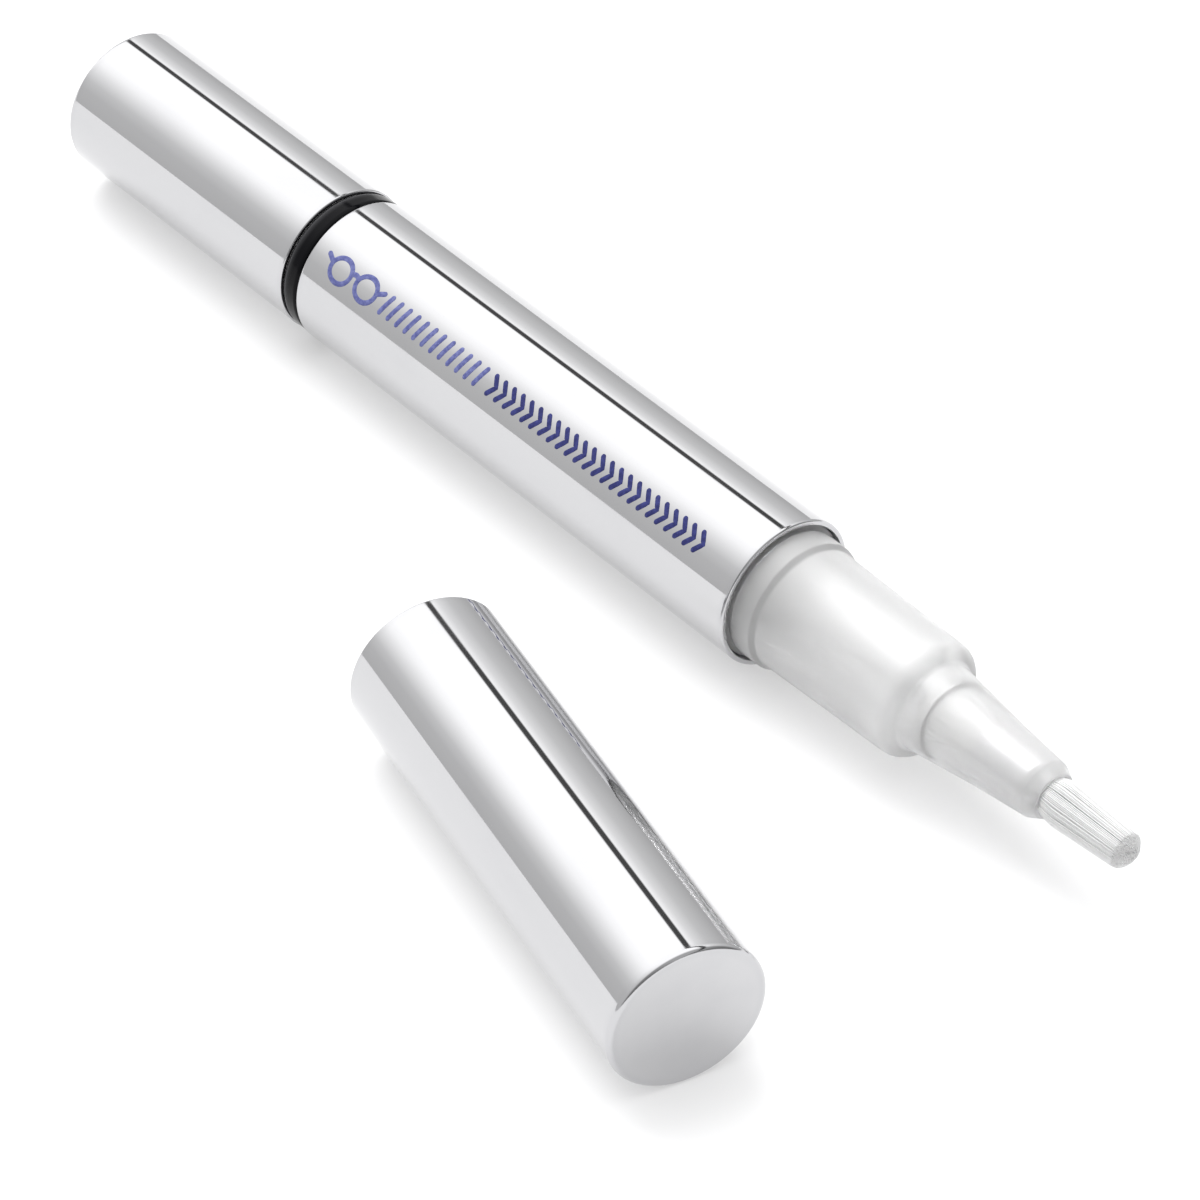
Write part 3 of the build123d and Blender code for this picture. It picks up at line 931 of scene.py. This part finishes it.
@dataclass
class Brush:
    """The round brush: a bundle of fine filaments that spreads past the lip and closes to a blunt tip."""

    filaments: int = 800
    filament_radius: float = 0.06
    sides: int = 6
    rings: int = 12
    tip_share: float = 0.006
    tip_thickness: float = 0.45
    held_radius: float = 1.72
    held_until: float = 32.8
    spread_at: float = 33.7
    closing: float = 0.22
    dome: float = 0.95
    wander: float = 0.02
    stray: float = 0.05
    stray_limit: float = 1.05
    uneven: float = 0.12
    seed: int = 7

    def middle_lines(self) -> np.ndarray:
        """Where the filaments run.

        Filament k starts at sqrt((k + 1/2) / count) of the bundle's radius, a golden angle on from the
        last. It keeps its share of the bundle's radius, which grows in a smooth step past the lip and then
        shrinks evenly to the tip. Filaments end on a shallow dome, each a little longer or shorter than it
        should be.

        Returns:
            The points of the middle lines, by filament and then by ring.
        """
        low, high = span("brush_bristles")
        root, tip, bundle = low[0], high[0], high[2]
        draw = np.random.default_rng(self.seed)
        index = np.arange(self.filaments)[:, None]
        share = np.sqrt((index + 0.5) / self.filaments)
        turn = index * GOLDEN_ANGLE + draw.normal(0, self.wander, index.shape)
        end = tip - self.dome * share**2 - draw.uniform(0, self.uneven, index.shape)
        lip = (self.held_until - root) / (tip - root)
        visible = np.linspace(lip, 1 - self.tip_share, self.rings - 2)
        station = root + (end - root) * np.concatenate(([0.0], visible, [1.0]))
        spread = np.clip((station - self.held_until) / (self.spread_at - self.held_until), 0, 1)
        spread = spread**2 * (3 - 2 * spread)
        past = np.clip((station - self.spread_at) / (tip - self.spread_at), 0, 1)
        around = self.held_radius + (bundle - self.held_radius) * spread - self.closing * bundle * past
        reach = (around - self.filament_radius) * share
        lean = draw.normal(0, self.stray, (2, *index.shape)) * past**2 * (self.stray_limit - share)
        return np.stack((station, reach * np.cos(turn) + lean[0], reach * np.sin(turn) + lean[1]), -1)

    def skins(self, lines: np.ndarray) -> tuple[np.ndarray, list[list[int]]]:
        """Closed skins round the middle lines.

        Point j of a ring stands at the line's point + thickness * (0, cos t, sin t), where t is the share
        j / sides of a full turn. The last ring is thinner.

        Args:
            lines: the points of the middle lines, by filament and then by ring.

        Returns:
            The points, by filament, ring and side, and the faces.
        """
        thick = np.full(self.rings, self.filament_radius)
        thick[-1] *= self.tip_thickness
        side = np.arange(self.sides)
        turn = side * 2 * math.pi / self.sides
        rim = np.stack((np.zeros(self.sides), np.cos(turn), np.sin(turn)), -1)
        places = lines[:, :, None] + thick[:, None, None] * rim
        first = (np.arange(self.filaments) * self.rings * self.sides)[:, None]
        last = first + (self.rings - 1) * self.sides
        wall = grid_faces(self.rings, self.sides, False, True)[:, ::-1] + first[:, None]
        faces = wall.reshape(-1, 4).tolist() + (side[::-1] + first).tolist() + (side + last).tolist()
        return places, faces

    def build(self) -> None:
        """Grows the filaments."""
        places, faces = self.skins(self.middle_lines())
        brush = make_object("brush_filaments", places * MM, faces)
        settle(brush, WetFilament("wet_filament").material(), "barrel", "bristle", "brush_bristles")


@dataclass
class Print:
    """The printing on the barrel: a small pair of spectacles, a row of bars and a row of arrowheads.

    Each mark is a thin raised stroke of ink that lies on the tube. Places are given along the tube and
    upwards from the middle of the row, measured round the tube.
    """

    middle_angle: float = 135.0
    thickness: float = 0.014
    sunk: float = 0.006
    line: float = 0.52
    shoulder: float = 0.82
    shoulder_height: float = 0.9
    end_steps: tuple[float, ...] = (1.0, 0.92, 0.7, 0.38)
    end_blunt: float = 0.02
    glasses_station: float = -51.6
    lens_radius: float = 1.3
    lens_squash: float = 0.9
    lens_pitch: float = 3.5
    bridge_arc: Pair = (0.15, 0.85)
    bridge_size: Pair = (1.1, 0.9)
    bridge_lift: float = 0.1
    hinge_lift: float = 0.25
    temple: Pair = (0.8, 0.44)
    bars_from: float = -47.0
    bars: int = 12
    slant: float = 0.32
    heads_from: float = -32.2
    heads: int = 24
    point: float = 0.62
    pitch: float = 1.18
    height: float = 1.7

    def stroke(self, path: np.ndarray, closed: bool = False) -> Stroke:
        """A raised stroke along a path.

        The stroke's section has five points: both feet under the tube's surface, both shoulders and the
        crown. Its half width is the line's half width times the square root of 1 - e * e, where e is how
        far a point is into a rounded end.

        Args:
            path: (along, upwards) places of the stroke's middle line.
            closed: whether the path comes back to its start.

        Returns:
            The (along, upwards) places, their heights and the faces.
        """
        half_line = self.line / 2
        if closed:
            way = unit(np.roll(path, -1, 0) - np.roll(path, 1, 0))
            half = np.full(len(path), half_line)
        else:
            way = unit(np.gradient(path, axis=0))
            share = np.array(self.end_steps)
            first = path[0] - way[0] * half_line * share[:, None]
            last = path[-1] + way[-1] * half_line * share[::-1, None]
            ends = np.sqrt(np.maximum(1 - share**2, self.end_blunt))
            half = np.concatenate((ends, np.ones(len(path)), ends[::-1])) * half_line
            way = np.pad(way, ((len(share), len(share)), (0, 0)), "edge")
            path = np.concatenate((first, path, last))
        across = np.array([-1.0, -self.shoulder, 0.0, self.shoulder, 1.0])
        shoulder = self.thickness * self.shoulder_height
        level = np.array([-self.sunk, shoulder, self.thickness, shoulder, -self.sunk])
        flat = path[:, None] + left_of(way)[:, None] * (half[:, None] * across)[..., None]
        heights = np.broadcast_to(level, flat.shape[:2])
        faces = grid_faces(len(path), len(across), closed, True).tolist()
        if not closed:
            end = np.arange(len(across))
            faces += [end.tolist(), (end[::-1] + len(across) * (len(path) - 1)).tolist()]
        return flat.reshape(-1, 2), heights.reshape(-1), faces

    def wrap(self, name: str, strokes: list[Stroke]) -> bpy.types.Object:
        """Lays strokes on the tube.

        A place (u, v) at height h stands at station u, at radius R + h and at v / R round the tube.

        Args:
            name: the piece's name.
            strokes: the strokes that make up the mark.

        Returns:
            The mark.
        """
        radius = span("barrel_shell")[1][2]
        flats, levels, parts = zip(*strokes)
        flat, height = np.concatenate(flats), radius + np.concatenate(levels)
        starts = np.cumsum([0] + [len(part) for part in levels])
        faces = [[corner + start for corner in face] for start, part in zip(starts, parts) for face in part]
        turn = math.radians(self.middle_angle) - flat[:, 1] / radius
        places = np.stack((flat[:, 0], height * np.cos(turn), height * np.sin(turn)), -1)
        return make_object(name, places * MM, faces)

    def row(self, name: str, path: np.ndarray, start: float, count: int) -> bpy.types.Object:
        """The same stroke printed several times in a row from a station on."""
        places = start + np.arange(count) * self.pitch
        return self.wrap(name, [self.stroke(path + [place, 0]) for place in places])

    def spectacles(self) -> bpy.types.Object:
        """Two oval lenses, joined by an arched bridge, with a short temple at each side."""
        turn = np.linspace(0, 2 * math.pi, 40, endpoint=False)
        lens = np.stack((np.cos(turn), np.sin(turn) * self.lens_squash), -1) * self.lens_radius
        shift = np.array([self.lens_pitch / 2, 0])
        middle = np.array([self.glasses_station, 0])
        arch = np.linspace(*self.bridge_arc, 9) * math.pi
        gap = self.lens_pitch / 2 - self.lens_radius
        bridge = np.stack((-np.cos(arch), np.sin(arch)), -1) * gap * self.bridge_size
        hinge = np.array([self.lens_pitch / 2 + self.lens_radius, self.hinge_lift])
        temple = hinge + np.linspace(0, 1, 5)[:, None] * self.temple
        strokes = [self.stroke(middle + lens + way * shift, closed=True) for way in (-1, 1)]
        strokes += [self.stroke(middle + bridge + [0, self.bridge_lift])]
        strokes += [self.stroke(middle + temple * [way, 1]) for way in (1, -1)]
        return self.wrap("print_spectacles", strokes)

    def build(self) -> None:
        """Prints the three marks."""
        climb = np.linspace(-0.5, 0.5, 5)[:, None] * [self.slant * self.height, self.height]
        rise = np.linspace(-0.5, 0.5, 9)
        head = np.stack((self.point * (0.5 - 2 * np.abs(rise)), rise * self.height), -1)
        glasses = self.spectacles()
        bars = self.row("print_bars", climb, self.bars_from, self.bars)
        heads = self.row("print_arrowheads", head, self.heads_from, self.heads)
        strong = PrintInk("ink_full").material()
        faint = PrintInk("ink_faint", colour=(0.075, 0.085, 0.25), thin=(0.14, 0.155, 0.35)).material()
        for piece, ink in ((glasses, faint), (bars, faint), (heads, strong)):
            settle(piece, ink, "barrel", None)


@dataclass
class Knob:
    """The dial knob and what turns with it."""

    tube: ClosedTube = ClosedTube()

    def build(self) -> None:
        """Turns the knob's closed tube and dresses the parts inside it."""
        low, high = span("knob_shell")
        knob = turned("knob_tube", self.tube.outline(mouth=high[0], end=low[0], radius=high[2]), PEN_SEAT)
        mirror = MirrorAluminium("mirror_knob").material()
        settle(knob, mirror, "knob", "polished_aluminium", "knob_shell")
        carry_over(MouldedWhite("white_drive"), "drive_core")
        carry_over(SpringSteel("spring_steel"), "retaining_clip", "click_spring")


@dataclass
class Plunger:
    """The screw rod, the piston and its seal."""

    def build(self) -> None:
        """Dresses the parts that slide in the reservoir."""
        carry_over(MouldedWhite("white_piston"), "piston_rod", "piston")
        carry_over(SoftSilicone("piston_seal_silicone"), "piston_seal")


@dataclass
class Cap:
    """The cap, which lies beside the pen with its closed end towards the front."""

    tube: ClosedTube = ClosedTube()
    liner_setback: float = 0.4
    liner_radius: float = 6.45
    liner_rim: float = 0.08
    liner_step_radius: float = 6.15
    liner_step: float = 3.0
    liner_step_edge: float = 0.12
    liner_bore: float = 5.85
    liner_end: float = 45.6
    liner_end_edge: float = 0.2
    liner_floor: float = 44.5
    pad_seat: float = 5.45
    pad_depth: float = 1.0
    fine: float = 0.1

    def seat(self) -> tuple[Seat, float, float]:
        """The cap's place, from its box and the direction in which its joint slides.

        A tube of length L and radius R that lies level at a yaw fills a box L |cos| + 2 R |sin| long.

        Returns:
            The seat at the middle of the mouth, the tube's length and its radius.
        """
        low, high = span("cap_shell")
        slide = next(joint for joint in frame["joints"] if joint["child"] == "cap")
        axis = unit(np.array(slide["axis"], float))
        radius = (high[2] - low[2]) / 2
        length = ((high - low)[0] - 2 * radius * abs(axis[1])) / abs(axis[0])
        mouth = (low + high) / 2 - axis * length / 2
        return Seat(mouth * MM, axis), length, radius

    def lining(self) -> Outline:
        """The lining's half section: a stepped bore with a seat for the pad at its floor."""
        pad_front = self.liner_floor - self.pad_depth
        corners = [
            (self.liner_floor, 0, 0),
            (self.liner_floor, self.pad_seat, self.fine),
            (pad_front, self.pad_seat, self.fine),
            (pad_front, self.liner_bore, self.fine),
            (self.liner_step, self.liner_bore, self.liner_step_edge),
            (self.liner_step, self.liner_step_radius, self.fine),
            (self.liner_setback, self.liner_step_radius, self.fine),
            (self.liner_setback, self.liner_radius, self.liner_rim),
            (self.liner_end, self.liner_radius, self.liner_end_edge),
            (self.liner_end, 0, 0),
        ]
        return rounded_outline(corners, Ends.AXIS)

    def build(self) -> None:
        """Turns the cap's tube and lining and dresses its pad."""
        seat, length, radius = self.seat()
        shell = turned("cap_tube", self.tube.outline(mouth=0, end=length, radius=radius), seat)
        mirror = MirrorAluminium("mirror_cap", yaw=seat.yaw).material()
        settle(shell, mirror, "cap", "polished_aluminium", "cap_shell")
        lining = turned("cap_lining", self.lining(), seat)
        white = MouldedWhite("white_lining", yaw=seat.yaw).material()
        settle(lining, white, "cap", "white_plastic", "cap_liner")
        carry_over(SoftSilicone("pad_silicone", yaw=seat.yaw), "cap_pad")


# ---------- The studio ----------


@dataclass
class Studio:
    """A white table under a tent of soft light, with one thin dark seam in the tent, and the camera."""

    table_size: float = 8.0
    camera_place: Triple = (0.2848, -0.2596, 0.3306)
    camera_target: Triple = (-0.0155, -0.0071, -0.0070)
    camera_reach: Pair = (0.01, 20.0)
    lens: float = 182.3
    brightness: float = 1.84
    seam_angle: float = 127.2
    seam_half_width: float = 3.5
    seam_blur: Pair = (0.7, 1.3)
    seam_level: float = 0.06
    camera_opening: Pair = (0.2, 0.65)
    camera_side: float = 0.35
    panels: tuple[Pair, ...] = (
        (0, 0.40), (24, 0.43), (39, 0.515), (53, 0.70), (68, 0.91), (80, 1.0),
        (120, 1.0), (132, 0.87), (139, 0.68), (152, 0.51), (180, 0.34),
    )
    key_strength: float = 2.0
    key_angle: float = 45.0
    key_direction: Triple = (-0.55, 0.18, 0.80)

    def build(self) -> None:
        """Sets up the table, the tent, the key light and the camera."""
        self.table()
        self.tent()
        self.key()
        self.camera()
        bpy.context.scene.view_settings.view_transform = "Standard"

    def table(self) -> None:
        """A square table top that touches the lowest point of the CAD model."""
        corner = np.array([[-1, -1, 0], [1, -1, 0], [1, 1, 0], [-1, 1, 0]]) * self.table_size / 2
        top = make_object("table_top", corner + [0, 0, cad_low[2]], [[0, 1, 2, 3]])
        dress(top, PaleTable("pale_table").material())

    def tent(self) -> None:
        """The light tent round the table, as brightness by direction.

        Its cloth hangs in long panels along the pen, so its brightness goes by the angle about the pen's
        axis, from 0 at the near edge of the table over 90 overhead to 180 at the far edge. A thin dark seam
        crosses the far slope, and the tent is darker on the side that is open for the camera.
        """
        world = bpy.data.worlds.new("light_tent")
        world.use_nodes = True
        net = NodeNet(world.node_tree)
        way = net.node("ShaderNodeTexCoord").outputs["Generated"]
        parts = net.node("ShaderNodeSeparateXYZ", {}, {0: way}).outputs
        x, y, z = (Value(net, parts[name]) for name in "XYZ")
        slope = z.angle_with(y * -1.0) * (1 / math.pi)
        stops = [(angle / 180, level) for angle, level in self.panels]
        cloth = Value(net, net.node("ShaderNodeValToRGB", {"stops": stops}, {0: slope}).outputs[0])
        seam_start, seam_end = (share * self.seam_half_width / 180 for share in self.seam_blur)
        off_seam = abs(slope - self.seam_angle / 180).over(seam_start, seam_end, self.seam_level, 1.0)
        opening = x.over(*self.camera_opening, 1.0, self.camera_side)
        level = cloth * off_seam * opening * self.brightness
        lamp = net.node("ShaderNodeBackground", {}, {"Color": (1, 1, 1, 1), "Strength": level})
        net.node("ShaderNodeOutputWorld", {}, {"Surface": lamp.outputs[0]})
        bpy.context.scene.world = world

    def key(self) -> None:
        """A broad soft light from above and behind, which draws the soft shadows but isn't mirrored."""
        light = bpy.data.lights.new("key_light", "SUN")
        light.energy = self.key_strength
        light.angle = math.radians(self.key_angle)
        lamp = bpy.data.objects.new("key_light", light)
        lamp.rotation_euler = Vector(self.key_direction).to_track_quat("Z", "Y").to_euler()
        lamp.visible_glossy = False
        bpy.context.scene.collection.objects.link(lamp)

    def camera(self) -> None:
        """The camera, looking down on the pen from the front."""
        optics = bpy.data.cameras.new("camera")
        optics.lens = self.lens
        optics.clip_start, optics.clip_end = self.camera_reach
        camera = bpy.data.objects.new("camera", optics)
        place, target = Vector(self.camera_place), Vector(self.camera_target)
        camera.location = place
        camera.rotation_euler = (target - place).to_track_quat("-Z", "Y").to_euler()
        bpy.context.scene.collection.objects.link(camera)
        bpy.context.scene.camera = camera


def main() -> None:
    """Builds every sub-assembly in order, then the studio."""
    logging.basicConfig(level=logging.INFO, format="%(name)s: %(message)s")
    for part in (Barrel(), Nozzle(), Brush(), Print(), Knob(), Plunger(), Cap(), Studio()):
        log.info("%s", type(part).__name__)
        part.build()


if __name__ == "__main__":
    main()
